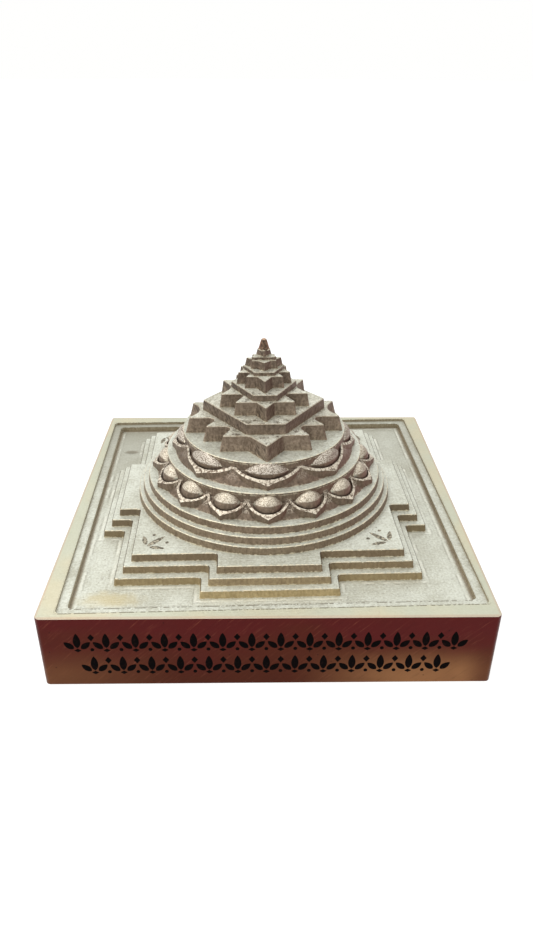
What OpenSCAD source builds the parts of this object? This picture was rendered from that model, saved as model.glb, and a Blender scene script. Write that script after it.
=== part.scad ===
// Meru shri yantra: a stepped brass relief of nine interlaced triangles on a square plinth.
// Origin at the middle of the underside, Z up, the viewer stands on the minus Y side.
// Every tier is its own piece and seats with a round spigot in the tier below.

/* [Plinth] */
// Height of the square block
plinth_h = 14.4; // [8:0.1:30]
// Radius of the upright corners of the block
plinth_corner_r = 0.9; // [0.3:0.1:3]
// Width of the flat outer rim
rim_w = 2.2; // [1.6:0.1:6]
// Width of the ledge inside the rim
ledge_w = 1.65; // [0.6:0.05:4]
// Step down from the rim to the ledge
ledge_drop = 0.5; // [0.2:0.05:2]
// Step down from the ledge to the sunk field
field_drop = 1; // [0.3:0.05:3]
// Free field between the gates and the ledge
field_margin = 3.05; // [1:0.05:8]
// Radius in the corners of the sunk field
field_corner_r = 0.9; // [0.4:0.1:4]
// Turn of the milled relief against the sides of the block, in degrees
relief_turn = 1.5; // [-2:0.1:2]
// Shift of the tiers along X against the middle of the block
relief_shift = -0.45; // [-0.8:0.05:0.8]

/* [Square enclosures] */
// Rise of each of the three enclosures
enclosure_rise = 1.5; // [0.8:0.05:4]
// Step in from one enclosure to the next
enclosure_step = 1.45; // [0.6:0.05:4]
// Corner of the inner enclosure beyond the outer circle along X, measured against the circle
enclosure_inset = 0.9; // [0:0.05:2]
// How far each gate stands out of its enclosure
gate_reach = 4; // [2:0.1:8]
// Half width of the inner gate
gate_half = 9.2; // [7.5:0.1:12]

/* [Three circles] */
// Rise of each of the three circles
circle_rise = 1.48; // [0.6:0.02:4]
// Foot of the inner circle beyond the tips of the sixteen petals
circle_inner_margin = 0.8; // [0.3:0.05:3]
// Ledge of the middle circle
circle_middle_margin = 1.15; // [0.4:0.05:3]
// Ledge of the outer circle
circle_outer_margin = 0.95; // [0.4:0.05:3]

/* [Lotus of sixteen petals] */
// Height of the drum inside the petals
drum_16_h = 4.45; // [3.6:0.05:8]
// Ledge of the drum beyond the tips of the eight petals
drum_16_margin = 0.95; // [0.3:0.05:3]
// Reach of the petal tips beyond the drum
petal_16_reach = 3.2; // [2.6:0.05:4.2]
// Radius of the round body of a petal
petal_16_r = 4; // [3.8:0.05:4.2]
// Height of the petal tip above the circle below
petal_16_tip_h = 0.95; // [0.5:0.05:2]
// Drop of the petal rim at the drum below the top of the drum
petal_16_rise_gap = 1.7; // [0.8:0.05:2.2]
// Round of the boss in a petal
boss_16_r = 2.2; // [1.8:0.05:2.4]
// Half length of the boss in a petal
boss_16_half = 2.8; // [2.4:0.05:3]

/* [Lotus of eight petals] */
// Height of the drum inside the petals
drum_8_h = 4.3; // [3.4:0.05:8]
// Ledge of the drum beyond the circle of the figure
drum_8_margin = 0.4; // [0.3:0.05:3]
// Reach of the petal tips beyond the drum
petal_8_reach = 2.4; // [2:0.05:3.4]
// Radius of the round body of a petal
petal_8_r = 7.9; // [7.6:0.05:8.4]
// Height of the petal tip above the drum below
petal_8_tip_h = 0.85; // [0.5:0.05:2]
// Drop of the petal rim at the drum below the top of the drum
petal_8_rise_gap = 1.35; // [0.8:0.05:2.2]
// Round of the boss in a petal
boss_8_r = 1.8; // [1.4:0.05:2]
// Half length of the boss in a petal
boss_8_half = 4.4; // [3.8:0.05:4.6]

/* [Petals and discs] */
// Height of the plain disc on top of each lotus
disc_h = 0.45; // [0.4:0.05:1]
// Depth of the bosses below the underside of the disc, and of their ends in the drum
boss_sink = 0.05; // [0.02:0.01:0.3]
// Length of the pointed nose of a petal beyond its round body
petal_nose = 0.55; // [0.3:0.05:0.9]
// Set-back of the foot of the notches behind the petal tips, lotus of sixteen
notch_16 = 1.1; // [0.6:0.05:1.6]
// Set-back of the foot of the notches behind the petal tips, lotus of eight
notch_8 = 0.7; // [0.4:0.05:1.4]
// Width of the raised rim of a petal
rim_band = 0.42; // [0.34:0.02:0.6]
// Depth of the hollow behind the rim
rim_hollow = 0.55; // [0.25:0.05:0.8]

/* [Figure of nine triangles] */
// Radius of the circle that the two great triangles touch
figure_r = 15.3; // [12:0.1:24]
// Lean of the walls up to the first star, in degrees
wall_lean = 7.5; // [2:0.5:10]
// Lean of the walls above the first star, in degrees
upper_lean = 5; // [2:0.5:6]
// How far the first star stands out beyond its lines
figure_swell = 0.19; // [0:0.01:0.4]
// Draw-in of the upper stars behind their lines
star_inset = 0.1; // [0:0.01:0.2]
// Ledge of a star in front of the hexagon on it
hexagon_ledge = 0.15; // [0:0.05:0.25]
// How far the slanted sides of the hexagons stand out beyond their lines
hexagon_swell = 0.12; // [0:0.01:0.2]
// How far the inner triangles stop short of the line that they point at
point_gap = 1; // [0.4:0.05:1.2]
// Radius of the two side notches of each star
side_notch_r = 3; // [1:0.1:3.6]
// Radius that the cutter leaves in an inside corner at the foot of a wall
cutter_r = 0.7; // [0.3:0.05:0.9]
// Eased round of an outside corner
tip_r = 0.28; // [0.1:0.02:0.32]
// Easing of the top edges
edge_ease = 0.12; // [0.04:0.02:0.2]

/* [Heights of the figure] */
// Height of the star of fourteen points
star_14_h = 3; // [1.6:0.1:5]
// Height of the first hexagon
hexagon_1_h = 2.1; // [1.2:0.1:4]
// Height of the outer star of ten points
star_10_outer_h = 2.6; // [1.2:0.1:4]
// Height of the second hexagon
hexagon_2_h = 1.2; // [0.8:0.05:3]
// Height of the inner star of ten points
star_10_inner_h = 2.25; // [1:0.05:3.5]
// Height of the third hexagon
hexagon_3_h = 0.7; // [0.55:0.05:2]
// Height of the star of eight points
star_8_h = 1.6; // [0.8:0.05:2.4]
// Height of the fourth hexagon
hexagon_4_h = 0.6; // [0.5:0.05:1.4]
// Height of the middle triangle
triangle_h = 1.2; // [0.7:0.05:2]
// Height of the bindu
bindu_h = 2.1; // [1.6:0.05:5]
// Radius of the bindu at its foot
bindu_r = 1.08; // [0.8:0.02:1.2]
// Radius of the round tip of the bindu
bindu_tip_r = 0.62; // [0.4:0.02:0.7]

/* [Seats] */
// Play around each spigot and around each drum
seat_gap = 0.05; // [0.03:0.01:0.1]
// Play under each spigot
seat_floor_gap = 0.08; // [0.03:0.01:0.15]
// Length of the spigots of the large tiers
spigot_len = 0.8; // [0.4:0.05:1]
// Length of the spigots of the small tiers
spigot_small_len = 0.35; // [0.2:0.05:0.4]

/* [Hidden] */
$fn = 96;
u = figure_r / 24;
// The nine level lines from the back, in forty-eighths of the circle
line_at = [0, 7.1, 11.75, 16.5, 18.8, 21.5, 25.2, 28.65, 34.7, 41.2];
// The level line that each triangle points at, 0 and 10 being the circle itself
apex_on = [0, 6, 9, 10, 8, 7, 2, 0, 1, 3];
// Radii, from the figure outwards
drum_8_r = figure_r + drum_8_margin;
petal_8_tip = drum_8_r + petal_8_reach;
drum_16_r = petal_8_tip + drum_16_margin;
petal_16_tip = drum_16_r + petal_16_reach;
circle_inner_r = petal_16_tip + circle_inner_margin;
circle_middle_r = circle_inner_r + circle_middle_margin;
circle_outer_r = circle_middle_r + circle_outer_margin;
enclosure_half = circle_outer_r - enclosure_inset;
field_half = enclosure_half + 2 * enclosure_step + gate_reach + field_margin;
plinth_w = 2 * (field_half + ledge_w + rim_w);
// Heights, from the underside upwards
field_z = plinth_h - ledge_drop - field_drop;
enclosure_z = [for (i = [0:3]) field_z + i * enclosure_rise];
circle_z = [for (i = [0:3]) enclosure_z[3] + i * circle_rise];
drum_16_top = circle_z[3] + drum_16_h;
drum_8_top = drum_16_top + drum_8_h;
star_14_top = drum_8_top + star_14_h;
hexagon_1_top = star_14_top + hexagon_1_h;
star_10_outer_top = hexagon_1_top + star_10_outer_h;
hexagon_2_top = star_10_outer_top + hexagon_2_h;
star_10_inner_top = hexagon_2_top + star_10_inner_h;
hexagon_3_top = star_10_inner_top + hexagon_3_h;
star_8_top = hexagon_3_top + star_8_h;
hexagon_4_top = star_8_top + hexagon_4_h;
triangle_top = hexagon_4_top + triangle_h;
// Fineness of the corners and edges of the tiers, smaller towards the top
fine = [for (f = [1.57, 1.57, 1.1, 1.1, 0.75, 0.75, 0.58, 0.58, 0.78]) f * u];
// Foot outline of each tier beyond its level lines and beyond its slanted sides
star_14_out = [figure_swell, figure_swell];
star_out = [-star_inset, -star_inset];
triangle_out = [star_inset, star_inset];
hexagon_1_out = hexagon_out(star_14_out, star_14_h, wall_lean, fine[0]);
hexagon_2_out = hexagon_out(star_out, star_10_outer_h, upper_lean, fine[2]);
hexagon_3_out = hexagon_out(star_out, star_10_inner_h, upper_lean, fine[4]);
hexagon_4_out = hexagon_out(star_out, star_8_h, upper_lean, fine[6]);
// Spigot radii, each smaller than the one below
seat_r = [for (i = [0:11]) drum_8_r * (0.78 - 0.045 * i)];
top_seat_r = [for (f = [0.24, 0.2, 0.16, 0.12, 0.075, 0.05, 0.028, 0.018]) figure_r * f];
// Middle of the innermost triangle, where the top tiers and the bindu stand
bindu_y = (24 - (2 * line_at[5] + line_at[6]) / 3) * u;

// How far a leaning wall with an eased edge draws in from its foot to its top
function drawn(h, lean, f) = (h - edge_ease * f) * tan(lean) + edge_ease * f;
// Foot outline of a hexagon on a star of height h
function hexagon_out(out, h, lean, f) = [out[0] - drawn(h, lean, f) - hexagon_ledge, hexagon_swell * f];
// Level of a line, measured along Y from the middle of the figure
function level(k) = (24 - line_at[k]) * u;
function apex_level(k) = apex_on[k] == 10 ? -24 * u : apex_on[k] == 0 ? 24 * u : level(apex_on[k]);
// Level of the point of a triangle: the great two reach the circle, the others stop short of their line
function point_level(k) = let (gap = k == 3 || k == 7 ? 0 : k == 1 || k == 9 ? point_gap / 2 : point_gap)
    apex_level(k) + (apex_level(k) < level(k) ? gap : -gap);
// Half chord of the circle at a line
function chord(k) = sqrt(576 - pow(line_at[k] - 24, 2)) * u;
// Half width that triangle j has at line k
function width_at(j, k) = half_base(j) * (level(k) - apex_level(j)) / (level(j) - apex_level(j));
// Half base of each triangle: two reach the circle, three reach the side of another triangle
function half_base(k) = k == 1 ? 12.95 * u
    : k == 2 ? 16.1 * u
    : k == 3 || k == 7 ? chord(k)
    : k == 4 ? width_at(8, 4)
    : k == 5 ? width_at(6, 5)
    : k == 6 ? width_at(2, 6)
    : k == 8 ? 18.15 * u : 13.15 * u;
function unit(v) = v / norm(v);
// A straight edge as normal and distance: 0 the axis, -k the level line k, k the side of triangle k
function edge(k, out) = k == 0 ? [1, 0, 0] : k < 0 ? level_edge(-k, out[0]) : side_edge(k, out[1]);
function level_edge(k, out) = k <= 5 ? [0, 1, level(k) + out] : [0, -1, out - level(k)];
function side_edge(k, out) = let (p = [half_base(k), level(k)], q = [0, point_level(k)], e = unit(q - p),
    n = e[1] < 0 ? [-e[1], e[0]] : [e[1], -e[0]]) [n[0], n[1], n * q + out];
function meet(a, b) = let (d = a[0] * b[1] - a[1] * b[0])
    [(a[2] * b[1] - b[2] * a[1]) / d, (a[0] * b[2] - b[0] * a[2]) / d];
// Right half of an outline from pairs of edges, then the whole outline
function right_half(pairs, out) = [for (q = pairs) meet(edge(q[0], out), edge(q[1], out))];
function mirrored(h) =
    concat(h, [for (i = [len(h) - 1:-1:0]) if (h[i][0] > 0.001) [-h[i][0], h[i][1]]]);
function outline(pairs, out) = mirrored(right_half(pairs, out));
// Outline of an enclosure with a gate in the middle of each side
function enclosure_outline(half, reach, gate) = [for (a = [0:90:270])
    for (p = [[-half, -half], [-gate, -half], [-gate, -reach], [gate, -reach], [gate, -half]])
        [p[0] * cos(a) - p[1] * sin(a), p[0] * sin(a) + p[1] * cos(a)]];
// Points of one corner of an outline that is drawn in by t
function corner(p, i, r_in, r_out, t) = let (n = len(p), e1 = unit(p[i] - p[(i + n - 1) % n]),
    e2 = unit(p[(i + 1) % n] - p[i]), n1 = [-e1[1], e1[0]], n2 = [-e2[1], e2[0]],
    m = (n1 + n2) / (1 + n1 * n2))
    e1[0] * e2[1] - e1[1] * e2[0] > 0
    ? [for (s = [0:2]) p[i] + (t + r_out) * m - r_out * unit(n1 * (2 - s) + n2 * s)]
    : [for (s = [0:4]) p[i] - r_in * m + (r_in + t) * unit(n1 * (4 - s) + n2 * s)];
function middle(p) = [for (i = [0:len(p) - 1]) 1] * p / len(p);
// Outline drawn in by t, with the radius r_side in the notches half way round each side
function drawn_in(p, r_in, r_side, r_out, t) = [for (i = [0:len(p) - 1])
    for (q = corner(p, i, 4 * i == len(p) || 4 * i == 3 * len(p) ? r_side : r_in, r_out, t)) q];

// Solid between loops of equal length that lie at given heights, closed round the middle m
module skin(loops, heights, m) {
    n = len(loops[0]);
    last = len(loops) - 1;
    low = (last + 1) * n;
    bottom = [for (i = [0:n - 1]) [i, (i + 1) % n, low]];
    top = [for (i = [0:n - 1]) [last * n + (i + 1) % n, last * n + i, low + 1]];
    sides = [for (k = [0:last - 1]) for (i = [0:n - 1])
        [k * n + i, (k + 1) * n + i, (k + 1) * n + (i + 1) % n, k * n + (i + 1) % n]];
    walls = [for (k = [0:last]) for (q = loops[k]) [q[0], q[1], heights[k]]];
    ends = [[m[0], m[1], heights[0]], [m[0], m[1], heights[last]]];
    polyhedron(points = concat(walls, ends), faces = concat(bottom, sides, top));
}

// Milled tier: leaning walls, inside corners left by the cutter, eased top edge
module milled(p, z0, h, lean, f) {
    ease = edge_ease * f;
    in_by = drawn(h, lean, f);
    loops = [for (t = [0, in_by - ease, in_by]) drawn_in(p, cutter_r * f, side_notch_r * f, tip_r * f, t)];
    skin(loops, [z0, z0 + h - ease, z0 + h], middle(p));
}

// Round step with a leaning wall and an eased top edge
module round_step(r, z0, h, lean) {
    top_r = r - drawn(h, lean, 1);
    rotate_extrude()
        polygon([[0, z0], [r, z0], [top_r + edge_ease, z0 + h - edge_ease], [top_r, z0 + h], [0, z0 + h]]);
}

// Tier on its seat: spigot below, socket above for the next tier
module seated(z0, z1, r, len, next_r, next_len, y = 0, next_y = 0) {
    difference() {
        union() {
            children();
            translate([0, y, z0 - len])
                cylinder(r = r, h = len + 0.2);
        }
        if (next_r > 0)
            translate([0, next_y, z1 - next_len - seat_floor_gap])
                cylinder(r = next_r + seat_gap, h = next_len + seat_floor_gap + 1);
    }
}

module rounded_square(w, r) {
    square([w, w - 2 * r], center = true);
    square([w - 2 * r, w], center = true);
    for (x = [-1, 1])
        for (y = [-1, 1])
            translate([x * (w / 2 - r), y * (w / 2 - r)])
                circle(r = r);
}

// Places the milled recess of the block
module turned() {
    rotate([0, 0, relief_turn])
        children();
}

// Places the tiers
module placed() {
    translate([relief_shift, 0, 0])
        turned()
            children();
}

module plinth() {
    ledge_half = field_half + ledge_w;
    ease = 1.5 * edge_ease;
    color("#7a4a3a")
        difference() {
            linear_extrude(plinth_h)
                rounded_square(plinth_w, plinth_corner_r);
            turned() {
                translate([0, 0, plinth_h - ledge_drop])
                    linear_extrude(ledge_drop + 1)
                        rounded_square(2 * ledge_half, field_corner_r);
                translate([0, 0, field_z])
                    linear_extrude(plinth_h)
                        rounded_square(2 * field_half, field_corner_r);
            }
            placed()
                translate([0, 0, field_z - spigot_len - seat_floor_gap])
                    cylinder(r = seat_r[0] + seat_gap, h = plinth_h);
            for (a = [0:90:270])
                rotate([0, 0, a])
                    translate([plinth_w / 2, 0, plinth_h])
                        rotate([0, 45, 0])
                            cube([ease * sqrt(2), plinth_w + 2, ease * sqrt(2)], center = true);
        }
}

// Enclosure number i from the outside
module enclosure(i) {
    out = (2 - i) * enclosure_step;
    color("#d8d2bd")
        placed()
            seated(enclosure_z[i], enclosure_z[i + 1], seat_r[i], spigot_len, seat_r[i + 1], spigot_len)
                milled(enclosure_outline(enclosure_half + out, enclosure_half + gate_reach + out,
                    gate_half + out), enclosure_z[i], enclosure_rise, wall_lean, 1);
}

// Circle number i from the outside
module circle_step(i, r) {
    color("#d8d2bd")
        placed()
            seated(circle_z[i], circle_z[i + 1], seat_r[3 + i], spigot_len, seat_r[4 + i], spigot_len)
                round_step(r, circle_z[i], circle_rise, wall_lean);
}

// Disc on top of a lotus
module disc(r, z0, i) {
    color("#d8d2bd")
        placed()
            seated(z0, z0 + disc_h, seat_r[i], spigot_small_len, seat_r[i + 1], spigot_small_len)
                round_step(r, z0, disc_h, 0);
}

// Plan of the petals: round bodies drawn in by t, each with a pointed nose when t is zero
module petal_plan(count, tip, r, t) {
    nose_half = 0.94 * sqrt(2 * r * petal_nose - petal_nose * petal_nose);
    for (i = [0:count - 1])
        rotate([0, 0, i * 360 / count - 90]) {
            translate([tip - petal_nose - r, 0])
                circle(r = r - t);
            if (t == 0)
                polygon([[tip, 0], [tip - 2 * petal_nose, nose_half], [tip - 2 * petal_nose, -nose_half]]);
        }
}

// Almond-shaped boss lying along X
module boss(r, half) {
    arc_r = (half * half + r * r) / (2 * r);
    rotate([0, 90, 0])
        rotate_extrude()
            intersection() {
                translate([r - arc_r, 0])
                    circle(r = arc_r);
                translate([0, -half - 1])
                    square([r + 1, 2 * half + 2]);
            }
}

// Rims of the petals: plan of the petals under a sloping top, with the hollows sunk in it
module petal_rims(count, drum_r, tip, r, z0, tip_z, in_z) {
    fall = (in_z - tip_z) / (tip - drum_r);
    in_r = drum_r - 1;
    out_r = tip + 1;
    difference() {
        intersection() {
            translate([0, 0, z0])
                linear_extrude(in_z - z0 + 2)
                    petal_plan(count, tip, r, 0);
            rotate_extrude()
                polygon([[in_r, z0], [out_r, z0], [out_r, tip_z - fall], [in_r, in_z + fall]]);
        }
        intersection() {
            translate([0, 0, z0])
                linear_extrude(in_z - z0 + 4)
                    petal_plan(count, tip, r, rim_band);
            rotate_extrude()
                polygon([[in_r - 1, in_z + 2 * fall - rim_hollow], [out_r, tip_z - fall - rim_hollow],
                    [out_r, in_z + 3], [in_r - 1, in_z + 3]]);
        }
    }
}

// Lotus: a drum with a sloping core, the raised rims of its petals and a boss in each petal
module lotus(count, drum_r, reach, r, z0, h, tip_z, in_z, notch, boss_r, boss_half) {
    tip = drum_r + reach;
    ends_r = sqrt(drum_r * drum_r - boss_half * boss_half) - boss_sink;
    translate([0, 0, z0])
        cylinder(r = drum_r, h = h);
    rotate_extrude()
        polygon([[0, z0], [tip - notch, z0], [drum_r - 0.1, in_z - 0.2], [0, in_z - 0.2]]);
    petal_rims(count, drum_r, tip, r, z0, tip_z, in_z);
    intersection() {
        translate([0, 0, z0])
            cylinder(r = tip, h = h);
        for (i = [0:count - 1])
            rotate([0, 0, i * 360 / count])
                translate([0, -ends_r, z0 + h - boss_sink - boss_r])
                    boss(boss_r, boss_half);
    }
}

// Tier of the figure on its seat
module figure_tier(pairs, out, z0, h, lean, f, r, len, next_r, next_len, y = 0, next_y = 0) {
    color("#cdbf9c")
        placed()
            seated(z0, z0 + h, r, len, next_r, next_len, y, next_y)
                milled(outline(pairs, out), z0, h, lean, f);
}

module star_14() {
    figure_tier([[0, 3], [3, -9], [-9, 9], [9, -8], [-8, 8], [8, -7], [-7, 7], [7, 3], [3, -3], [-3, 2],
        [2, -2], [-2, 1], [1, -1], [-1, 7], [7, 0]], star_14_out, drum_8_top, star_14_h, wall_lean,
        fine[0], seat_r[10], spigot_small_len, seat_r[11], spigot_len);
}

module hexagon_1() {
    figure_tier([[-9, 3], [3, 7], [7, -1]], hexagon_1_out, star_14_top, hexagon_1_h, upper_lean, fine[1],
        seat_r[11], spigot_len, top_seat_r[0], spigot_len);
}

module star_10_outer() {
    figure_tier([[0, 2], [2, -8], [-8, 9], [9, -7], [-7, 8], [8, 2], [2, -3], [-3, 1], [1, -2], [-2, 8],
        [8, 0]], star_out, hexagon_1_top, star_10_outer_h, upper_lean, fine[2],
        top_seat_r[0], spigot_len, top_seat_r[1], spigot_len);
}

module hexagon_2() {
    figure_tier([[-8, 2], [2, 8], [8, -2]], hexagon_2_out, star_10_outer_top, hexagon_2_h, upper_lean,
        fine[3], top_seat_r[1], spigot_len, top_seat_r[2], spigot_len);
}

module star_10_inner() {
    figure_tier([[0, 4], [4, -7], [-7, 9], [9, -6], [-6, 6], [6, 4], [4, -4], [-4, 1], [1, -3], [-3, 6],
        [6, 0]], star_out, hexagon_2_top, star_10_inner_h, upper_lean, fine[4],
        top_seat_r[2], spigot_len, top_seat_r[3], spigot_small_len, 0, bindu_y);
}

module hexagon_3() {
    figure_tier([[-7, 4], [4, 6], [6, -3]], hexagon_3_out, star_10_inner_top, hexagon_3_h, upper_lean,
        fine[5], top_seat_r[3], spigot_small_len, top_seat_r[4], spigot_small_len, bindu_y, bindu_y);
}

module star_8() {
    figure_tier([[0, 5], [5, -6], [-6, 9], [9, 5], [5, -5], [-5, 1], [1, -4], [-4, 9], [9, 0]],
        star_out, hexagon_3_top, star_8_h, upper_lean, fine[6],
        top_seat_r[4], spigot_small_len, top_seat_r[5], spigot_small_len, bindu_y, bindu_y);
}

module hexagon_4() {
    figure_tier([[-6, 5], [5, 9], [9, -4]], hexagon_4_out, star_8_top, hexagon_4_h, upper_lean, fine[7],
        top_seat_r[5], spigot_small_len, top_seat_r[6], spigot_small_len, bindu_y, bindu_y);
}

module triangle() {
    figure_tier([[0, 1], [1, -5]], triangle_out, hexagon_4_top, triangle_h, wall_lean, fine[8],
        top_seat_r[6], spigot_small_len, top_seat_r[7], spigot_small_len, bindu_y, bindu_y);
}

module bindu() {
    lean = atan((bindu_r - bindu_tip_r) / (bindu_h - bindu_tip_r));
    cone_h = bindu_h - bindu_tip_r * (1 - sin(lean));
    color("#a5764a")
        placed()
            translate([0, bindu_y, triangle_top]) {
                translate([0, 0, -spigot_small_len])
                    cylinder(r = top_seat_r[7], h = spigot_small_len + 0.2);
                cylinder(r1 = bindu_r, r2 = bindu_tip_r * cos(lean), h = cone_h);
                translate([0, 0, bindu_h - bindu_tip_r])
                    sphere(r = bindu_tip_r);
            }
}

module lotus_16() {
    color("#cfc6ae")
        placed()
            seated(circle_z[3], drum_16_top - disc_h, seat_r[6], spigot_len, seat_r[7], spigot_small_len)
                lotus(16, drum_16_r, petal_16_reach, petal_16_r, circle_z[3], drum_16_h - disc_h,
                    circle_z[3] + petal_16_tip_h, drum_16_top - petal_16_rise_gap, notch_16,
                    boss_16_r, boss_16_half);
}

module lotus_8() {
    color("#cfc6ae")
        placed()
            seated(drum_16_top, drum_8_top - disc_h, seat_r[8], spigot_small_len, seat_r[9],
                spigot_small_len)
                lotus(8, drum_8_r, petal_8_reach, petal_8_r, drum_16_top, drum_8_h - disc_h,
                    drum_16_top + petal_8_tip_h, drum_8_top - petal_8_rise_gap, notch_8,
                    boss_8_r, boss_8_half);
}

plinth();
enclosure(0);  // enclosure_outer
enclosure(1);  // enclosure_middle
enclosure(2);  // enclosure_inner
circle_step(0, circle_outer_r);  // circle_outer
circle_step(1, circle_middle_r);  // circle_middle
circle_step(2, circle_inner_r);  // circle_inner
lotus_16();
disc(drum_16_r, drum_16_top - disc_h, 7);  // disc_16
lotus_8();
disc(drum_8_r, drum_8_top - disc_h, 9);  // disc_8
star_14();
hexagon_1();
star_10_outer();
hexagon_2();
star_10_inner();
hexagon_3();
star_8();
hexagon_4();
triangle();
bindu();
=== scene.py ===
"""Looks for the meru shri yantra: brass materials, painted and engraved ornament, light and camera."""

import math

import bmesh
import bpy
from mathutils import Matrix, Vector


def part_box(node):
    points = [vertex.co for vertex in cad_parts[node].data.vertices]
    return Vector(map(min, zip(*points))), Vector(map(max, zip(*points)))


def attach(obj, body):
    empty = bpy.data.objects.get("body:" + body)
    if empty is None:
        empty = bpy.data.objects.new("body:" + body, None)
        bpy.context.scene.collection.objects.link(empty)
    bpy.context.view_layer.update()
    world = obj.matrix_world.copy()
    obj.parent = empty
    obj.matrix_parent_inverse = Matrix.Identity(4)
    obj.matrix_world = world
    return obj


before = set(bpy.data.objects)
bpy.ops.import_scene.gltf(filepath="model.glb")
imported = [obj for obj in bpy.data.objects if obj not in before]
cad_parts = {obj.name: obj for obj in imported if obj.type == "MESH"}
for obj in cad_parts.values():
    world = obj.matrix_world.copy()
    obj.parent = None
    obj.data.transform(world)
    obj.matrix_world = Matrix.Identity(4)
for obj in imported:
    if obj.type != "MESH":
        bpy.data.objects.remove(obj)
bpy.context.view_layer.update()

MM = 0.001

# The tiers from the plinth upwards, each standing on the one before it
STACK = ["plinth", "enclosure_outer", "enclosure_middle", "enclosure_inner", "circle_outer",
         "circle_middle", "circle_inner", "lotus_16", "disc_16", "lotus_8", "disc_8", "star_14",
         "hexagon_1", "star_10_outer", "hexagon_2", "star_10_inner", "hexagon_3", "star_8",
         "hexagon_4", "triangle", "bindu"]
# The tiers from the lower lotus upwards, and those of the figure of triangles among them
CONE = STACK[STACK.index("lotus_16"):]
FIGURE = STACK[STACK.index("star_14"):]
# Beginnings of the names of tiers that were turned, not milled along straight lines
TURNED = ("circle", "lotus", "disc")

# Sizes in millimetres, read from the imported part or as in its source
PLINTH_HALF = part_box("plinth")[1].x / MM
PLINTH_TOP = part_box("plinth")[1].z / MM
FIELD_DEPTH = 1.5
FIELD_Z = PLINTH_TOP - FIELD_DEPTH
TOP = {name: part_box(name)[1].z / MM for name in STACK}
FOOT = {name: TOP[below] for below, name in zip(STACK, STACK[1:])}
FOOT["enclosure_outer"] = FIELD_Z
RELIEF_SHIFT = -0.45
RELIEF_TURN = math.radians(1.5)
# Half widths of the sunk field, of the ledge round it, of the outer enclosure and of its gates
FIELD_HALF = 34.2
LEDGE_HALF = 35.85
ENCLOSURE_HALF = 27.15
GATE_HALF = 12.1
# How far the gates of the outer enclosure stand out, and how much less those of the next ones do
GATE_OUT = 31.15
GATE_STEP = 1.45
ENCLOSURE_BOXES = ((ENCLOSURE_HALF, ENCLOSURE_HALF), (GATE_OUT, GATE_HALF), (GATE_HALF, GATE_OUT))
ENCLOSURES = ("enclosure_outer", "enclosure_middle", "enclosure_inner")
GATE_FRONT = {name: GATE_OUT - i * GATE_STEP for i, name in enumerate(ENCLOSURES)}

# Crowns of the bosses of the upper lotus: thickest radius, half length, how far out their axis lies, and
# how far their top stands up the edge of the disc
CROWN_R = 1.8
CROWN_HALF = 4.1
CROWN_OUT = 15.2
CROWN_RISE = 0.43

# Pitch of the passes of the cutter, and depths of the bumps of relief, block, fine pieces and paint
CUT_PITCH = 0.62
RELIEF_DEPTH = 0.11
PLINTH_DEPTH = 0.07
FINE_DEPTH = 0.05
ENAMEL_DEPTH = 0.03
# Share of bare metal in the blasted brass, what polish adds to it, and the shares of tip and sprigs
BLASTED = 0.65
POLISH = 0.32
TIP_METAL = 0.7
PATINA_METAL = 0.5
# Middle and half widths of the stain and of the dent in the field
STAIN_PLACE = (-27.0, -31.5, 5.5, 2.2)
DENT_PLACE = (-31.0, 22.2, 1.8, 1.0)
# Stretches of x + y, along the sides of the block, where tan ends on the left, grows to the right and
# weakens at the right end as painted shade, and the heights between which it fades
TAN_LEFT = (-72.0, -52.0)
TAN_RIGHT = (-36.0, -11.0)
TAN_END_SHADE = (-6.0, -1.0)
TAN_FADE = (9.0, 1.0)
# Stretches of y in which the mottling of the figure changes and in which the walls of the enclosures and the
# field darken as painted shade, and the stretch of x in which the field's painted shade grows
FIGURE_FRONT = (-10.0, 4.0)
WALL_SHADE_BACK = (-19.0, -12.0)
FIELD_BACK = (-5.0, 34.0)
FIELD_LEFT = (-32.0, 0.0)

# Painted border: pitch and height of its flowers, half its thickness, its shift along the front, and for
# each row the number of flowers and the height of their feet
FLOWER_PITCH = 4.8
FLOWER_H = 3.6
PAINT_HALF = 0.03
BORDER_SHIFT = -0.4
BORDER_ROWS = {"border_upper": (14, 7.6), "border_lower": (13, 2.65)}
# Sprigs: length, half thickness, how far from the middle they stand along both axes, and their quarters
SPRIG = 4.2
SPRIG_HALF = 0.02
SPRIG_OUT = 21.6
SPRIG_QUARTERS = {"sprig_front_left": 180, "sprig_front_right": 270, "sprig_back_right": 0,
                  "sprig_back_left": 90}

# Floor: radius and drop in metres, and the strength of its glow
FLOOR_R = 4.0
FLOOR_DROP = 0.02 * MM
FLOOR_GLOW = 0.8
# Lamps: place, aim and width in metres, power in watts
LAMPS = {"key": ((-0.16, 0.04, 0.45), (0, 0, 0.02), 0.3, 0.9),
         "fill": ((-0.4, -0.3, 0.25), (0, 0, 0.03), 0.2, 0.6)}
SKY = (1.0, 1.0, 0.99, 1.0)
WHITE = (1.0, 1.0, 1.0, 1.0)
# Camera: place in millimetres, tilt, roll and swing in degrees, focal length and picture height in pixels,
# and the width of its sensor in millimetres
CAMERA_PLACE = (-1.85, -130.01, 93.04)
CAMERA_TURNS = (29.49, -0.74, -0.21)
FOCAL_PIXELS = 735.3
PICTURE_PIXELS = 948
SENSOR = 36
CLIP_START = 0.005


def srgb(r, g, b):
    """Linear colour from 0 to 255 values as they show on the screen."""
    def linear(v):
        v /= 255
        return v / 12.92 if v <= 0.04045 else ((v + 0.055) / 1.055) ** 2.4
    return (linear(r), linear(g), linear(b), 1.0)


def tones(dark, light):
    """Dark and light colour of a surface."""
    return srgb(*dark), srgb(*light)


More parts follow.
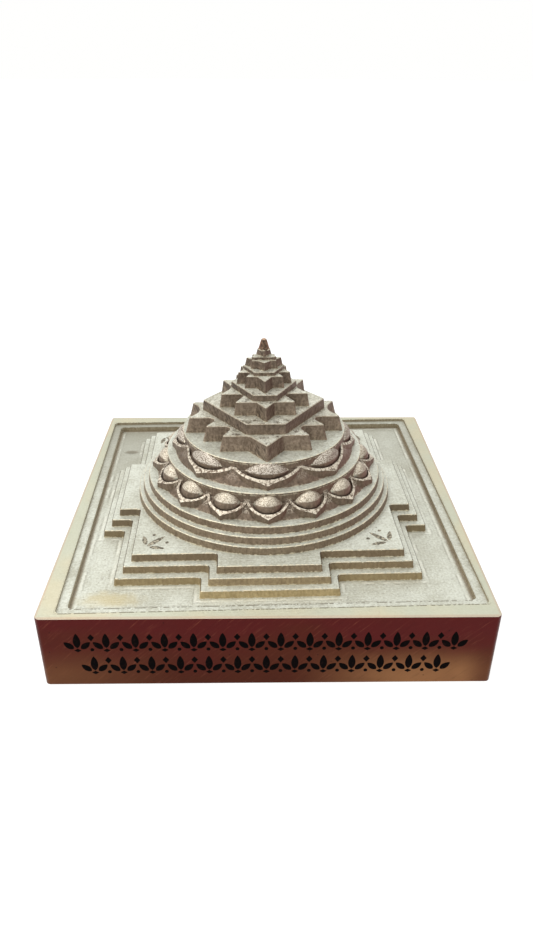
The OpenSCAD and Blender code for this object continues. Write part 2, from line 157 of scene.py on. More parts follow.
# Level surfaces, and the edges round them
PALE_TOP = tones((184, 183, 167), (216, 218, 206))
FIGURE_TOP = tones((176, 171, 153), (228, 227, 213))
FIGURE_EDGE = tones((150, 136, 116), (180, 171, 153))
GATE_EDGE = srgb(92, 80, 64)
MOTTLE = srgb(96, 82, 66)
EDGE = srgb(220, 211, 186)
PIT = srgb(104, 90, 72)
# Walls: of the tiers, darker than the tops partly in the milled brass's own tone and partly as painted shade,
# and darker up the relief; where they face right, painted shade and painted red reflection; beside and behind
# the gates, painted shade; and the strokes on them
STAR_WALL = tones((72, 60, 49), (146, 128, 110))
HEXAGON_WALL = tones((70, 58, 47), (136, 119, 102))
WALLS = {"enclosure_outer": tones((172, 152, 112), (212, 192, 148)),
         "enclosure_middle": tones((142, 124, 96), (182, 163, 129)),
         "enclosure_inner": tones((116, 100, 79), (154, 137, 111)),
         "circle_outer": tones((108, 94, 76), (146, 130, 108)),
         "circle_middle": tones((106, 92, 75), (146, 129, 108)),
         "circle_inner": tones((98, 84, 68), (138, 120, 100)),
         "lotus_16": tones((88, 75, 62), (131, 114, 97)),
         "disc_16": tones((86, 72, 60), (128, 110, 92)),
         "lotus_8": tones((86, 73, 61), (130, 112, 95)),
         "disc_8": tones((86, 72, 60), (128, 110, 92)),
         "star_14": tones((92, 78, 64), (168, 150, 130)),
         "hexagon_1": tones((78, 66, 54), (144, 127, 109)),
         "star_10_outer": tones((86, 73, 60), (158, 141, 121)),
         "hexagon_2": HEXAGON_WALL, "hexagon_3": HEXAGON_WALL, "hexagon_4": HEXAGON_WALL,
         "star_10_inner": STAR_WALL, "star_8": STAR_WALL, "triangle": STAR_WALL}
# Painted shade and painted red reflection for walls and petals that face right
RIGHT_WALL_SHADE_AND_REFLECTION = srgb(98, 70, 60)
RIGHT_PETAL_SHADE_AND_REFLECTION = srgb(112, 72, 64)
# Painted shade for enclosure walls beside and behind the gates
WING_WALL_SHADE = srgb(118, 102, 80)
BACK_WALL_SHADE = srgb(112, 100, 82)
STROKE = srgb(66, 54, 44)
# Petals: their rims and the burrs in the creases
PETAL_RIM = tones((118, 103, 88), (212, 202, 184))
BURR = tones((84, 70, 58), (196, 184, 166))
# For each lotus the number of petals, the radius of the drum, the top of the rims at the drum and their
# fall per millimetre outwards, the strength of the burrs in the creases, the upward part of the normal from
# which a boss is painted lit, its lower part staying in painted shade, and the tones of its speckles
LOTUS = {"lotus_16": {"count": 16, "drum_r": 19.05, "rim_z": 24.59, "fall": 0.5625, "burred": 0.75,
                      "lit_from": 0.4, "speckles": tones((156, 143, 125), (218, 209, 191))},
         "lotus_8": {"count": 8, "drum_r": 15.7, "rim_z": 29.24, "fall": 0.875, "burred": 0.25,
                     "lit_from": 0.06, "speckles": tones((122, 109, 96), (206, 197, 183))}}
# Block: walls of the field, with painted light where they face right; rim; painted shade in the corners and
# burrs on its top
FIELD_WALL = tones((138, 124, 102), (182, 172, 148))
FIELD_WALL_RIGHT_PAINTED_LIGHT = srgb(206, 199, 180)
FIELD_SHADE = srgb(150, 147, 132)
RIM = tones((194, 195, 174), (203, 196, 168))
RIM_BORDER = srgb(190, 140, 114)
FIELD_CORNER_SHADE = srgb(146, 132, 110)
LEDGE_GROOVE_SHADE = srgb(146, 136, 114)
PALE_BURR = srgb(238, 238, 226)
DASH = srgb(104, 96, 78)
STAIN = srgb(194, 178, 132)
DENT = srgb(124, 117, 100)
# Block: polished sides
MAROON = tones((78, 26, 25), (74, 34, 22))
TAN = srgb(140, 98, 64)
PALE_SCRATCH = srgb(150, 92, 70)
DARK_SCRATCH = srgb(40, 16, 16)
SPECK = srgb(34, 15, 14)
# Tip, ornaments and floor
TIP = tones((62, 48, 38), (112, 90, 72))
TIP_SIDE = srgb(150, 98, 72)
TIP_WORN = tones((160, 122, 96), (206, 176, 150))
ENAMEL = tones((5, 3, 3), (26, 14, 12))
PATINA = tones((84, 78, 66), (176, 168, 148))
PAPER = tones((150, 150, 149), (156, 156, 155))


class Shader:
    """Builds the nodes of one material. A value is a socket, a number or a tuple."""

    def __init__(self, name):
        self.material = bpy.data.materials.new(name)
        self.material.use_nodes = True
        self.tree = self.material.node_tree
        self.surface = self.tree.nodes["Principled BSDF"]
        coords = self.node("ShaderNodeTexCoord")
        self.place = self.scaled(coords.outputs["Object"], (1 / MM, 1 / MM, 1 / MM))
        self.x, self.y, self.z = self.parts(self.place)
        self.nx, _, self.nz = self.parts(coords.outputs["Normal"])

    def node(self, kind, **settings):
        """New node with the given settings."""
        made = self.tree.nodes.new(kind)
        for name, value in settings.items():
            setattr(made, name, value)
        return made

    def put(self, socket, value):
        """Links a value to an input, or sets it there."""
        if isinstance(value, bpy.types.NodeSocket):
            self.tree.links.new(value, socket)
        else:
            socket.default_value = value

    def math(self, operation, a, b=0.0):
        """Result of one operation on one or two numbers."""
        made = self.node("ShaderNodeMath", operation=operation)
        self.put(made.inputs[0], a)
        self.put(made.inputs[1], b)
        return made.outputs[0]

    def add(self, *terms):
        """Sum of two or more numbers."""
        total = terms[0]
        for term in terms[1:]:
            total = self.math("ADD", total, term)
        return total

    def sub(self, a, b):
        """a less b."""
        return self.math("SUBTRACT", a, b)

    def mul(self, a, b):
        """a times b."""
        return self.math("MULTIPLY", a, b)

    def larger(self, a, b):
        """The larger of two numbers."""
        return self.math("MAXIMUM", a, b)

    def absolute(self, a):
        """A number without its sign."""
        return self.math("ABSOLUTE", a)

    def rest(self, share):
        """What a share leaves of 1."""
        return self.sub(1.0, share)

    def between(self, share, a, b):
        """a where share is 0, b where it is 1."""
        return self.add(self.mul(b, share), self.mul(a, self.rest(share)))

    def length(self, a, b):
        """Length of a vector in the plane."""
        return self.math("SQRT", self.add(self.mul(a, a), self.mul(b, b)))

    def parts(self, vector):
        """The three numbers of a vector."""
        made = self.node("ShaderNodeSeparateXYZ")
        self.put(made.inputs[0], vector)
        return made.outputs

    def scaled(self, vector, by):
        """A vector scaled along each axis."""
        made = self.node("ShaderNodeVectorMath", operation="MULTIPLY")
        self.put(made.inputs[0], vector)
        self.put(made.inputs[1], by)
        return made.outputs[0]

    def vector(self, x, y, z):
        """A vector from three numbers."""
        made = self.node("ShaderNodeCombineXYZ")
        for socket, value in zip(made.inputs, (x, y, z)):
            self.put(socket, value)
        return made.outputs[0]

    def ramp(self, value, low, high, start=0.0, end=1.0):
        """start where value is low, end where it is high, with a smooth step between them."""
        made = self.node("ShaderNodeMapRange", interpolation_type="SMOOTHSTEP")
        for name, given in (("Value", value), ("From Min", low), ("From Max", high),
                            ("To Min", start), ("To Max", end)):
            self.put(made.inputs[name], given)
        return made.outputs["Result"]

    def band(self, value, low, high, soft, strength):
        """Strength between low and high, nothing outside."""
        return self.mul(self.ramp(value, low - soft, low, 0.0, strength),
                        self.ramp(value, high, high + soft, 1.0, 0.0))

    def mix(self, factor, a, b):
        """Colour a where factor is 0, b where it is 1."""
        made = self.node("ShaderNodeMix", data_type="RGBA")
        self.put(made.inputs[0], factor)
        self.put(made.inputs[6], a)
        self.put(made.inputs[7], b)
        return made.outputs[2]

    def noise(self, vector, scale, detail=2.0, rough=0.5):
        """Soft random pattern from 0 to 1."""
        made = self.node("ShaderNodeTexNoise")
        for name, given in (("Vector", vector), ("Scale", scale), ("Detail", detail),
                            ("Roughness", rough)):
            self.put(made.inputs[name], given)
        return made.outputs["Fac"]

    def patches(self, scale, low, high, detail=2.0, rough=0.5, start=0.0, end=1.0):
        """Random patches: start where the pattern is under low, end where it is over high."""
        return self.ramp(self.noise(self.place, scale, detail, rough), low, high, start, end)

    def ragged(self, scale, reach, detail=3.0, rough=0.6):
        """Random shift to both sides, to fray a border with."""
        return self.mul(self.sub(self.noise(self.place, scale, detail, rough), 0.5), reach)

    def cells(self, scale):
        """Distance from the nearest of many random points."""
        made = self.node("ShaderNodeTexVoronoi")
        self.put(made.inputs["Vector"], self.place)
        self.put(made.inputs["Scale"], scale)
        return made.outputs["Distance"]

    def across(self, shift=RELIEF_SHIFT):
        """Position across the relief, in its own shifted and turned axes."""
        x = self.sub(self.x, shift)
        c, s = math.cos(RELIEF_TURN), math.sin(RELIEF_TURN)
        return (self.add(self.mul(x, c), self.mul(self.y, s)),
                self.sub(self.mul(self.y, c), self.mul(x, s)))

    def radius(self):
        """Distance from the axis of the relief."""
        return self.length(*self.across())

    def square(self, shift=RELIEF_SHIFT):
        """Half width of the square round the middle that passes through the point."""
        a, b = self.across(shift)
        return self.larger(self.absolute(a), self.absolute(b))

    def outside(self, boxes):
        """Distance outside a plan made of boxes round the middle of the relief, given by half widths."""
        a, b = (self.absolute(v) for v in self.across())
        gaps = [self.larger(self.sub(a, x), self.sub(b, y)) for x, y in boxes]
        nearest = gaps[0]
        for gap in gaps[1:]:
            nearest = self.math("MINIMUM", nearest, gap)
        return nearest

    def spot(self, x, y, half_x, half_y):
        """Distance from a spot on the field, 1 on an ellipse round it."""
        return self.length(self.mul(self.sub(self.x, x), 1 / half_x),
                           self.mul(self.sub(self.y, y), 1 / half_y))

    def finish(self, colour, metallic, roughness, height, depth, specular=0.5):
        """The material, with these values on its surface and a bump of the given depth in millimetres."""
        bump = self.node("ShaderNodeBump")
        bump.inputs["Distance"].default_value = depth * MM
        self.put(bump.inputs["Height"], height)
        self.put(self.surface.inputs["Base Color"], colour)
        self.put(self.surface.inputs["Metallic"], metallic)
        self.put(self.surface.inputs["Roughness"], roughness)
        self.put(self.surface.inputs["Specular IOR Level"], specular)
        self.put(self.surface.inputs["Normal"], bump.outputs["Normal"])
        return self.material


def matt(sh):
    """Roughness of the blasted brass."""
    return sh.patches(1.6, 0.3, 0.7, start=0.45, end=0.62)


def blasted_top(sh, ring, pair, mottle):
    """Colour and height of a level surface: fine grain, blotches and passes of the cutter along ring."""
    grain = sh.noise(sh.place, 2.4, 3.0, 0.65)
    blotch = sh.noise(sh.place, 0.14)
    cut = sh.math("SINE", sh.mul(ring, 2 * math.pi / CUT_PITCH))
    tone = sh.add(sh.mul(grain, 0.7), sh.mul(blotch, 0.5), sh.mul(cut, 0.015))
    colour = sh.mix(sh.ramp(tone, 0.4, 0.78), *pair)
    colour = sh.mix(sh.patches(0.7, 0.5, 0.6, detail=5.0, rough=0.85, end=mottle), colour, MOTTLE)
    pits = sh.mul(sh.ramp(sh.cells(1.1), 0.07, 0.15, 1.0, 0.0), sh.patches(0.5, 0.52, 0.6, detail=1.0))
    colour = sh.mix(sh.mul(pits, 0.6), colour, PIT)
    return colour, sh.sub(sh.add(sh.mul(grain, 0.8), sh.mul(cut, 0.03)), sh.mul(pits, 0.8))


def milled_wall(sh, pair):
    """Colour and height of a steep wall: streaks that the cutter leaves and a rough skin."""
    streak = sh.noise(sh.scaled(sh.place, (2.2, 2.2, 0.5)), 1.0, 3.0, 0.6)
    skin = sh.noise(sh.place, 2.0, 3.0, 0.65)
    colour = sh.mix(sh.ramp(sh.add(sh.mul(streak, 0.5), sh.mul(skin, 0.6)), 0.32, 0.8), *pair)
    return colour, sh.add(sh.mul(streak, 0.7), sh.mul(skin, 0.6))


def hatched(sh, wall):
    """Dark slanting strokes on the walls that face sideways."""
    slant = sh.vector(sh.mul(sh.sub(sh.y, sh.z), 2.0), sh.mul(sh.add(sh.y, sh.z), 0.35), sh.x)
    strokes = sh.ramp(sh.noise(slant, 1.0), 0.5, 0.6)
    sideways = sh.ramp(sh.absolute(sh.nx), 0.45, 0.8, 0.0, 0.75)
    return sh.mix(sh.mul(strokes, sideways), wall, STROKE)


def relief_top(sh, name):
    """Colour and height of the top of a tier, more mottled on the front of the figure."""
    ring = sh.radius() if name.startswith(TURNED) else sh.square()
    if name in FIGURE:
        return blasted_top(sh, ring, FIGURE_TOP, sh.ramp(sh.y, *FIGURE_FRONT, 0.9, 0.25))
    return blasted_top(sh, ring, PALE_TOP, 0.1 if name in ENCLOSURES else 0.25)


def relief_wall(sh, name):
    """Colour and height of the wall of a tier, darker and redder to the right as painted shade and painted
    red reflection, with ragged pale borders.
    """
    wall, height = milled_wall(sh, WALLS[name])
    if name in FIGURE:
        dark = WALLS[name][0]
        wall = hatched(sh, sh.mix(sh.ramp(sh.z, FOOT[name], TOP[name], 0.0, 0.5), wall, dark))
    # Walls and petals that face right: painted shade and a painted red reflection
    redness, red = (0.6, RIGHT_PETAL_SHADE_AND_REFLECTION) if name in LOTUS else (0.5, RIGHT_WALL_SHADE_AND_REFLECTION)
    wall = sh.mix(sh.ramp(sh.nx, 0.2, 0.9, 0.0, redness), wall, red)
    if name in ENCLOSURES:
        front = GATE_FRONT[name]
        # Walls behind the fronts of the gates and towards the back are darker: painted shade
        wall = sh.mix(sh.ramp(sh.y, 0.5 - front, 3.0 - front, 0.0, 0.5), wall, WING_WALL_SHADE)
        wall = sh.mix(sh.ramp(sh.y, *WALL_SHADE_BACK, 0.0, 0.55), wall, BACK_WALL_SHADE)
    at_top, at_foot = (0.3, 0.4) if name in CONE else (1.0, 0.8)
    ragged = sh.ragged(1.5, 0.7 if name in FIGURE else 1.0)
    from_top = sh.ramp(sh.add(sh.sub(TOP[name], sh.z), ragged), 0.0, 0.13, at_top, 0.0)
    from_foot = sh.ramp(sh.add(sh.sub(sh.z, FOOT[name]), ragged), 0.0, 0.16, at_foot, 0.0)
    return sh.mix(sh.larger(from_top, from_foot), wall, EDGE), height


def relief_edge(sh, name):
    """Colour of the eased edge between wall and top: worn bright in patches."""
    pair = FIGURE_EDGE if name in FIGURE else (PALE_TOP[0], EDGE)
    edge = sh.mix(sh.patches(1.9, 0.4, 0.56, detail=3.0, rough=0.6), *pair)
    if name in ENCLOSURES:
        edge = sh.mix(sh.ramp(sh.absolute(sh.nx), 0.3, 0.6), edge, GATE_EDGE)
    return edge


def relief_material(name):
    """Brass of one tier: pale blasted top, brown milled wall whose darkness is partly painted shade, worn
    edge, and petals on the lotuses.
    """
    sh = Shader(name + "_finish")
    top, top_height = relief_top(sh, name)
    wall, wall_height = relief_wall(sh, name)
    leaning = sh.ramp(sh.nz, 0.25, 0.55)
    level = sh.ramp(sh.nz, 0.9, 0.98)
    colour = sh.mix(level, sh.mix(leaning, wall, relief_edge(sh, name)), top)
    if name in LOTUS:
        colour = petals(sh, colour, wall, **LOTUS[name])
    return sh.finish(colour, BLASTED, matt(sh), sh.between(leaning, wall_height, top_height), RELIEF_DEPTH)


def petal_turn(sh, count):
    """1 along the middle of each of count petals, -1 where two of them meet."""
    a, b = sh.across()
    return sh.math("COSINE", sh.mul(sh.math("ARCTAN2", b, a), float(count)))


def petals(sh, colour, wall, count, drum_r, rim_z, fall, burred, lit_from, speckles):
    """Rims, hollows, creases and bosses of a lotus, told apart by how far they are above its rims. The
    hollows and the lower and right-facing parts of the bosses are painted dark as painted shade, the tops of
    the bosses pale as painted light.
    """
    plane = sh.sub(rim_z, sh.mul(sh.sub(sh.radius(), drum_r), fall))
    above = sh.sub(sh.z, plane)
    skin = sh.mix(sh.patches(1.9, 0.4, 0.56, detail=3.0, rough=0.7), *PETAL_RIM)
    colour = sh.mix(sh.ramp(sh.nz, 0.5, 0.62), colour, skin)
    # Hollows behind the rims in wall colour: painted shade
    colour = sh.mix(sh.ramp(above, -0.42, -0.2, 1.0, 0.0), colour, wall)
    meeting = sh.ramp(petal_turn(sh, count), -0.8, -0.95, 0.0, burred)
    crease = sh.mul(meeting, sh.band(above, -0.9, 0.3, 0.3, 1.0))
    colour = sh.mix(crease, colour, sh.mix(sh.patches(4.6, 0.4, 0.58, detail=1.0), *BURR))
    # Bosses in wall colour as painted shade, with a pale speckled top as painted light, weaker where they
    # face right
    boss = sh.mul(sh.ramp(above, 0.05, 0.2), sh.rest(crease))
    colour = sh.mix(boss, colour, wall)
    lit_cap = sh.mul(sh.ramp(sh.nz, lit_from, lit_from + 0.12), sh.ramp(sh.nx, 0.3, 0.65, 1.0, 0.5))
    speckled = sh.mix(sh.patches(5.6, 0.4, 0.58, detail=1.0, rough=0.6), *speckles)
    return sh.mix(sh.mul(boss, lit_cap), colour, speckled)


def polished_side(sh):
    """Colour and height of the outer sides: toned polish with fine slanting scratches."""
    along = sh.add(sh.x, sh.y)
    cloud = sh.noise(sh.scaled(sh.place, (0.06, 0.06, 0.12)), 1.0)
    low = sh.sub(sh.mul(cloud, 1.3), sh.mul(sh.z, 0.06))
    colour = sh.mix(sh.ramp(low, -0.15, 0.45), *MAROON)
    sides = sh.add(sh.ramp(along, *TAN_LEFT, 0.35, 0.0), sh.ramp(along, *TAN_RIGHT))
    # Less tan towards the right end: painted shade
    warm = sh.mul(sh.mul(sh.ramp(sh.z, *TAN_FADE), sides), sh.ramp(along, *TAN_END_SHADE, 1.0, 0.25))
    colour = sh.mix(sh.mul(warm, sh.ramp(cloud, 0.3, 0.7, 0.7, 1.0)), colour, TAN)
    slant = sh.vector(sh.mul(sh.sub(along, sh.z), 2.2), sh.mul(sh.add(along, sh.z), 0.12), 0.0)
    scratch = sh.noise(slant, 1.0, 4.0, 0.7)
    colour = sh.mix(sh.ramp(scratch, 0.55, 0.75, 0.0, 0.28), colour, PALE_SCRATCH)
    colour = sh.mix(sh.ramp(scratch, 0.25, 0.42, 0.35, 0.0), colour, DARK_SCRATCH)
    colour = sh.mix(sh.ramp(sh.cells(0.42), 0.035, 0.06, 0.8, 0.0), colour, SPECK)
    return colour, sh.mul(scratch, 0.12)


def burrs(sh, colour):
    """Painted shade in the corners of field and ledge, with pale burrs beside them and along the outer
    enclosure.
    """
    ragged = sh.ragged(1.3, 0.5)
    edge = sh.square(0.0)
    in_field = sh.add(sh.sub(FIELD_HALF, edge), ragged)
    in_ledge = sh.add(sh.sub(LEDGE_HALF, edge), ragged)
    field = sh.ramp(sh.z, FIELD_Z + 0.1, FIELD_Z + 0.4, 1.0, 0.0)
    ledge = sh.sub(sh.ramp(sh.z, PLINTH_TOP - 0.3, PLINTH_TOP - 0.2, 1.0, 0.0), field)
    # Painted shade on the field at the foot of its walls
    colour = sh.mix(sh.mul(sh.ramp(in_field, 0.2, 0.75, 0.8, 0.0), field), colour, FIELD_CORNER_SHADE)
    a, b = (sh.absolute(v) for v in sh.across(0.0))
    ends = sh.ramp(sh.sub(b, a), 0.0, 0.6, 0.25, 1.0)
    # Painted shade in the groove of the ledge, strongest along the front and back
    dirt = sh.mul(sh.mul(sh.ramp(in_ledge, 0.05, 0.4, 0.6, 0.0), ledge), ends)
    colour = sh.mix(dirt, colour, LEDGE_GROOVE_SHADE)
    foot = sh.add(sh.outside(ENCLOSURE_BOXES), ragged)
    broken = sh.mul(field, sh.patches(0.35, 0.4, 0.6, detail=3.0, rough=0.6, start=0.15))
    for gap, low, high in ((in_field, 0.8, 1.05), (foot, 0.5, 0.8)):
        colour = sh.mix(sh.mul(sh.band(gap, low, high, 0.15, 0.6), broken), colour, PALE_BURR)
        colour = sh.mix(sh.mul(sh.band(gap, high + 0.25, high + 0.35, 0.12, 0.25), broken), colour, PIT)
    dashes = sh.mul(sh.patches(2.2, 0.4, 0.5), ends)
    for half in (FIELD_HALF, LEDGE_HALF):
        line = sh.band(sh.sub(edge, half), 0.03, 0.2, 0.05, 0.8)
        colour = sh.mix(sh.mul(line, dashes), colour, DASH)
    return colour


def plinth_top(sh, outward):
    """Colour and height of the top of the block: field and ledge, yellower rim, a stain and a dent."""
    top, height = blasted_top(sh, sh.square(), PALE_TOP, 0.1)
    back = sh.mul(sh.ramp(sh.y, *FIELD_BACK, 0.0, 0.35), sh.ramp(sh.x, *FIELD_LEFT, 2.0, 1.0))
    top = sh.mix(back, top, FIELD_SHADE)
    rim = sh.mix(sh.patches(0.1, 0.35, 0.68), *RIM)
    rim = sh.mix(sh.ramp(outward, PLINTH_HALF - 0.6, PLINTH_HALF - 0.2, 0.0, 0.4), rim, RIM_BORDER)
    top = sh.mix(sh.ramp(sh.z, PLINTH_TOP - 0.3, PLINTH_TOP - 0.1, 0.0, 0.85), top, rim)
    top = burrs(sh, top)
    stain = sh.add(sh.spot(*STAIN_PLACE), sh.noise(sh.place, 0.6))
    top = sh.mix(sh.ramp(stain, 0.7, 1.8, 0.6, 0.0), top, STAIN)
    dent = sh.ramp(sh.spot(*DENT_PLACE), 0.4, 1.2, 1.0, 0.0)
    top = sh.mix(sh.mul(dent, 0.8), top, DENT)
    return top, sh.sub(height, sh.mul(dent, 1.5))


def plinth_material():
    """Brass block: blasted top, milled walls round the field painted lighter where they face right as painted
    light, sides polished and toned from maroon to tan.
    """
    sh = Shader("plinth_finish")
    outward = sh.larger(sh.absolute(sh.x), sh.absolute(sh.y))
    top, top_height = plinth_top(sh, outward)
    wall, wall_height = milled_wall(sh, FIELD_WALL)
    # Walls that face right painted lighter: painted light
    wall = sh.mix(sh.ramp(sh.nx, 0.3, 0.8, 0.0, 0.6), wall, FIELD_WALL_RIGHT_PAINTED_LIGHT)
    side, side_height = polished_side(sh)
    outer = sh.larger(sh.ramp(outward, PLINTH_HALF - 0.9, PLINTH_HALF - 0.6),
                      sh.ramp(sh.nz, -0.6, -0.3, 1.0, 0.0))
    level = sh.ramp(sh.nz, 0.35, 0.6)
    colour = sh.mix(level, sh.mix(outer, wall, side), top)
    polished = sh.mul(outer, sh.rest(level))
    glossy = sh.patches(0.5, 0.3, 0.7, detail=3.0, start=0.3, end=0.45)
    rough = sh.between(polished, matt(sh), glossy)
    height = sh.between(level, sh.between(outer, wall_height, side_height), top_height)
    return sh.finish(colour, sh.add(BLASTED, sh.mul(polished, POLISH)), rough, height, PLINTH_DEPTH)


def tip_material():
    """Handled tip: brown copper-toned brass, worn brighter on its round end and at its foot."""
    sh = Shader("bindu_finish")
    skin = sh.noise(sh.place, 2.6, 3.0, 0.65)
    tone = sh.ramp(skin, 0.38, 0.62)
    body = sh.mix(tone, *TIP)
    body = sh.mix(sh.ramp(sh.absolute(sh.nx), 0.55, 0.95, 0.0, 0.5), body, TIP_SIDE)
    colour = sh.mix(sh.ramp(sh.nz, 0.6, 0.95), body, sh.mix(tone, *TIP_WORN))
    up = sh.add(sh.sub(sh.z, FOOT["bindu"]), sh.ragged(1.8, 1.0, detail=2.0, rough=0.5))
    colour = sh.mix(sh.ramp(up, 0.0, 0.2, 0.85, 0.0), colour, EDGE)
    return sh.finish(colour, TIP_METAL, sh.ramp(skin, 0.3, 0.7, 0.36, 0.52), skin, FINE_DEPTH)


def enamel_material():
    """Black paint rubbed a little thin."""
    sh = Shader("border_enamel")
    grain = sh.noise(sh.place, 2.4, 3.0, 0.6)
    colour = sh.mix(sh.ramp(grain, 0.5, 0.78), *ENAMEL)
    return sh.finish(colour, 0.0, sh.ramp(grain, 0.3, 0.7, 0.5, 0.7), grain, ENAMEL_DEPTH, 0.02)


def engraved_material():
    """Dark dirt in the engraved sprigs."""
    sh = Shader("sprig_patina")
    grain = sh.noise(sh.place, 2.4, 3.0, 0.6)
    return sh.finish(sh.mix(sh.ramp(grain, 0.4, 0.62), *PATINA), PATINA_METAL, 0.6, grain, FINE_DEPTH)


def paint(name, material):
    """Gives a packed tier one material."""
    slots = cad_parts[name].data.materials
    slots.clear()
    slots.append(material)


def dress():
    """Gives every packed tier its own material."""
    paint("plinth", plinth_material())
    for name in STACK[1:-1]:
        paint(name, relief_material(name))
    paint("bindu", tip_material())


def petal(length, width, steps=10):
    """Outline of a broad pointed petal that stands on the origin along +Y."""
    right = []
    for i in range(1, steps):
        t = i / steps
        right.append((width / 2 * math.sin(math.pi * t ** 0.85) ** 0.75, length * t))
    return [(0.0, 0.0), *right, (0.0, length), *[(-x, y) for x, y in reversed(right)]]


def around(steps):
    """Angles that divide a full turn."""
    return [2 * math.pi * i / steps for i in range(steps)]


def dot(radius):
    """Outline of a small round dot."""
    return [(radius * math.cos(t), radius * math.sin(t)) for t in around(14)]


def lozenge(half_x, half_y):
    """Outline of a lozenge."""
    return [(half_x, 0.0), (0.0, half_y), (-half_x, 0.0), (0.0, -half_y)]


def moved(shape, x, y, turn=0.0):
    """An outline turned about the origin and then moved."""
    c, s = math.cos(turn), math.sin(turn)
    return [(x + px * c - py * s, y + px * s + py * c) for px, py in shape]


def placed(name, mesh, matrix, material):
    """Object from a mesh in millimetres, placed by matrix."""
    mesh.transform(Matrix.Scale(MM, 4) @ matrix)
    bmesh.ops.recalc_face_normals(mesh, faces=mesh.faces[:])
    data = bpy.data.meshes.new(name)
    mesh.to_mesh(data)
    mesh.free()
    data.materials.append(material)
    piece = bpy.data.objects.new(name, data)
    bpy.context.scene.collection.objects.link(piece)
    return piece


def inlay(name, shapes, matrix, half_thickness, material):
    """Flat closed ornaments: each outline becomes a thin prism, placed by matrix, in millimetres."""
    mesh = bmesh.new()
    for shape in shapes:
        low = [mesh.verts.new((x, y, -half_thickness)) for x, y in shape]
        high = [mesh.verts.new((x, y, half_thickness)) for x, y in shape]
        mesh.faces.new(list(reversed(low)))
        mesh.faces.new(high)
        for i in range(len(shape)):
            j = (i + 1) % len(shape)
            mesh.faces.new((low[i], low[j], high[j], high[i]))
    piece = placed(name, mesh, matrix, material)
    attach(piece, "root")


def almond(mesh, place, steps=28, sides=36):
    """Adds a smooth spindle of the crowns' size along X, placed by a matrix in millimetres."""
    arc_r = (CROWN_HALF ** 2 + CROWN_R ** 2) / (2 * CROWN_R)
    rings = []
    for j in range(1, steps):
        x = CROWN_HALF * (2 * j / steps - 1)
        r = math.sqrt(arc_r ** 2 - x ** 2) - arc_r + CROWN_R
        ring = [Vector((x, r * math.cos(t), r * math.sin(t))) for t in around(sides)]
        rings.append([mesh.verts.new(place @ point) for point in ring])
    for low, high in zip(rings, rings[1:]):
        for k in range(sides):
            n = (k + 1) % sides
            mesh.faces.new((low[k], low[n], high[n], high[k]))
    for ring, x in ((rings[0], -CROWN_HALF), (rings[-1], CROWN_HALF)):
        pole = mesh.verts.new(place @ Vector((x, 0, 0)))
        for k in range(sides):
            mesh.faces.new((ring[k], ring[(k + 1) % sides], pole))


def boss_crowns():
    """Crowns of the bosses: almonds a little higher than the bosses, up to the edge of the disc."""
    mesh = bmesh.new()
    middle = Matrix.Translation((RELIEF_SHIFT, 0, FOOT["disc_8"] + CROWN_RISE - CROWN_R))
    for t in around(LOTUS["lotus_8"]["count"]):
        turn = Matrix.Rotation(RELIEF_TURN + t, 4, "Z")
        almond(mesh, middle @ turn @ Matrix.Translation((0, -CROWN_OUT, 0)))
    for face in mesh.faces:
        face.smooth = True
    lotus_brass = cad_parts["lotus_8"].data.materials[0]
    piece = placed("boss_crowns", mesh, Matrix.Identity(4), lotus_brass)
    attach(piece, "root")


def lotus_flower(height):
    """Three broad petals and a small calyx, side by side without touching."""
    side = petal(0.58 * height, 0.3 * height)
    return [moved(petal(0.86 * height, 0.34 * height), 0.0, 0.14 * height),
            moved(side, 0.17 * height, 0.1 * height, math.radians(-48)),
            moved(side, -0.17 * height, 0.1 * height, math.radians(48)),
            lozenge(0.16 * height, 0.1 * height)]


def border(count, z):
    """One row of lotus flowers with a lozenge and a dot between each two."""
    start = -(count - 1) * FLOWER_PITCH / 2
    shapes = []
    for i in range(count):
        x = start + i * FLOWER_PITCH
        shapes += [moved(s, x, z) for s in lotus_flower(FLOWER_H)]
        if i:
            between = x - FLOWER_PITCH / 2
            shapes += [moved(lozenge(0.15 * FLOWER_H, 0.2 * FLOWER_H), between, z + 0.76 * FLOWER_H),
                       moved(dot(0.09 * FLOWER_H), between, z + 0.04 * FLOWER_H)]
    return shapes


def sprig(size):
    """A small spray of leaves with dots."""
    small = petal(0.7 * size, 0.22 * size)
    speck = dot(0.08 * size)
    return [petal(size, 0.24 * size),
            moved(small, 0.1 * size, 0.02 * size, math.radians(-58)),
            moved(small, -0.1 * size, 0.02 * size, math.radians(58)),
            moved(speck, 0.42 * size, 0.75 * size),
            moved(speck, -0.42 * size, 0.75 * size)]


def ornaments():
    """Rows of lotus flowers on the front of the block, and sprigs in the corners of the inner enclosure."""
    enamel = enamel_material()
    front = Matrix.Translation((BORDER_SHIFT, -PLINTH_HALF, 0)) @ Matrix.Rotation(math.pi / 2, 4, "X")
    for name, (count, z) in BORDER_ROWS.items():
        inlay(name, border(count, z), front, PAINT_HALF, enamel)
    patina = engraved_material()
    middle = Matrix.Translation((RELIEF_SHIFT, 0, TOP["enclosure_inner"]))
    outward = Matrix.Translation((SPRIG_OUT, SPRIG_OUT, 0)) @ Matrix.Rotation(math.radians(135), 4, "Z")
    for name, quarter in SPRIG_QUARTERS.items():
        turn = Matrix.Rotation(RELIEF_TURN + math.radians(quarter), 4, "Z")
        inlay(name, sprig(SPRIG), middle @ turn @ outward, SPRIG_HALF, patina)


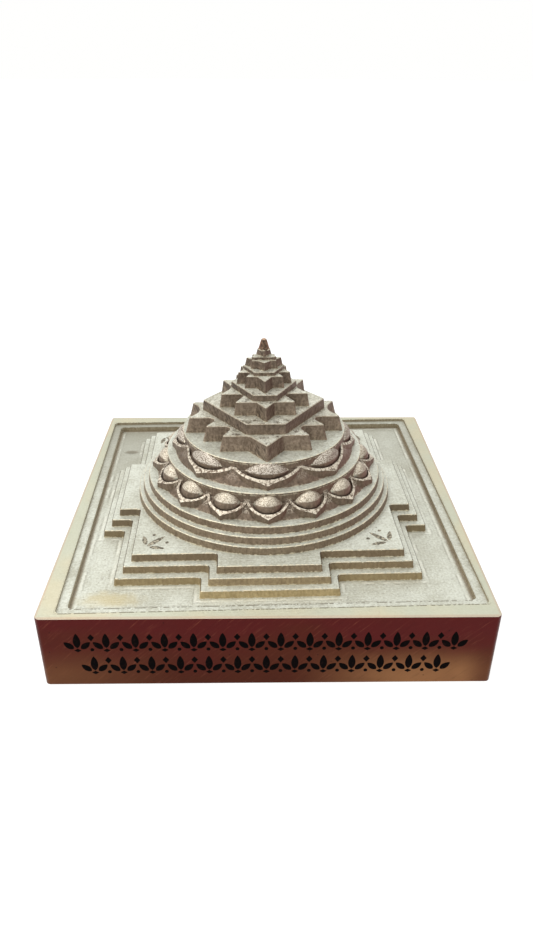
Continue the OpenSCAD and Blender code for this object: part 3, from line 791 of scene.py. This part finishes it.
def lay_floor():
    """Pale floor under the block."""
    disc = bmesh.new()
    bmesh.ops.create_circle(disc, cap_ends=True, segments=96, radius=FLOOR_R)
    data = bpy.data.meshes.new("floor")
    disc.to_mesh(data)
    disc.free()
    floor = bpy.data.objects.new("floor", data)
    floor.location.z = -FLOOR_DROP
    bpy.context.scene.collection.objects.link(floor)
    sh = Shader("floor_paper")
    tone = sh.noise(sh.place, 0.02)
    sh.put(sh.surface.inputs["Emission Color"], WHITE)
    sh.put(sh.surface.inputs["Emission Strength"], FLOOR_GLOW)
    data.materials.append(sh.finish(sh.mix(tone, *PAPER), 0.0, 0.9, tone, 0.01))


def light():
    """Bright even sky, with two soft lamps above and to the left."""
    world = bpy.data.worlds.new("studio")
    world.use_nodes = True
    world.node_tree.nodes["Background"].inputs["Color"].default_value = SKY
    world.node_tree.nodes["Background"].inputs["Strength"].default_value = 1.0
    bpy.context.scene.world = world
    for name, (place, aim, width, power) in LAMPS.items():
        lamp = bpy.data.lights.new(name, "AREA")
        lamp.shape = "DISK"
        lamp.size = width
        lamp.energy = power
        lit = bpy.data.objects.new(name, lamp)
        lit.location = place
        lit.rotation_euler = (Vector(aim) - Vector(place)).to_track_quat("-Z", "Y").to_euler()
        bpy.context.scene.collection.objects.link(lit)


def set_camera():
    """Camera that stands close to the front and looks down on the block."""
    tilt, roll, swing = (math.radians(v) for v in CAMERA_TURNS)
    straight = Matrix(((1, 0, 0), (0, 0, -1), (0, 1, 0)))
    right, down, ahead = (Matrix.Rotation(swing, 3, "Z") @ Matrix.Rotation(roll, 3, "Y")
                          @ Matrix.Rotation(tilt, 3, "X") @ straight)
    turn = Matrix((right, -down, -ahead)).transposed()
    camera = bpy.data.objects.new("camera", bpy.data.cameras.new("camera"))
    camera.matrix_world = Matrix.Translation(Vector(CAMERA_PLACE) * MM) @ turn.to_4x4()
    camera.data.sensor_width = SENSOR
    camera.data.lens = FOCAL_PIXELS * SENSOR / PICTURE_PIXELS
    camera.data.clip_start = CLIP_START
    bpy.context.scene.collection.objects.link(camera)
    bpy.context.scene.camera = camera
    bpy.context.scene.view_settings.view_transform = "Standard"


dress()
boss_crowns()
ornaments()
lay_floor()
light()
set_camera()
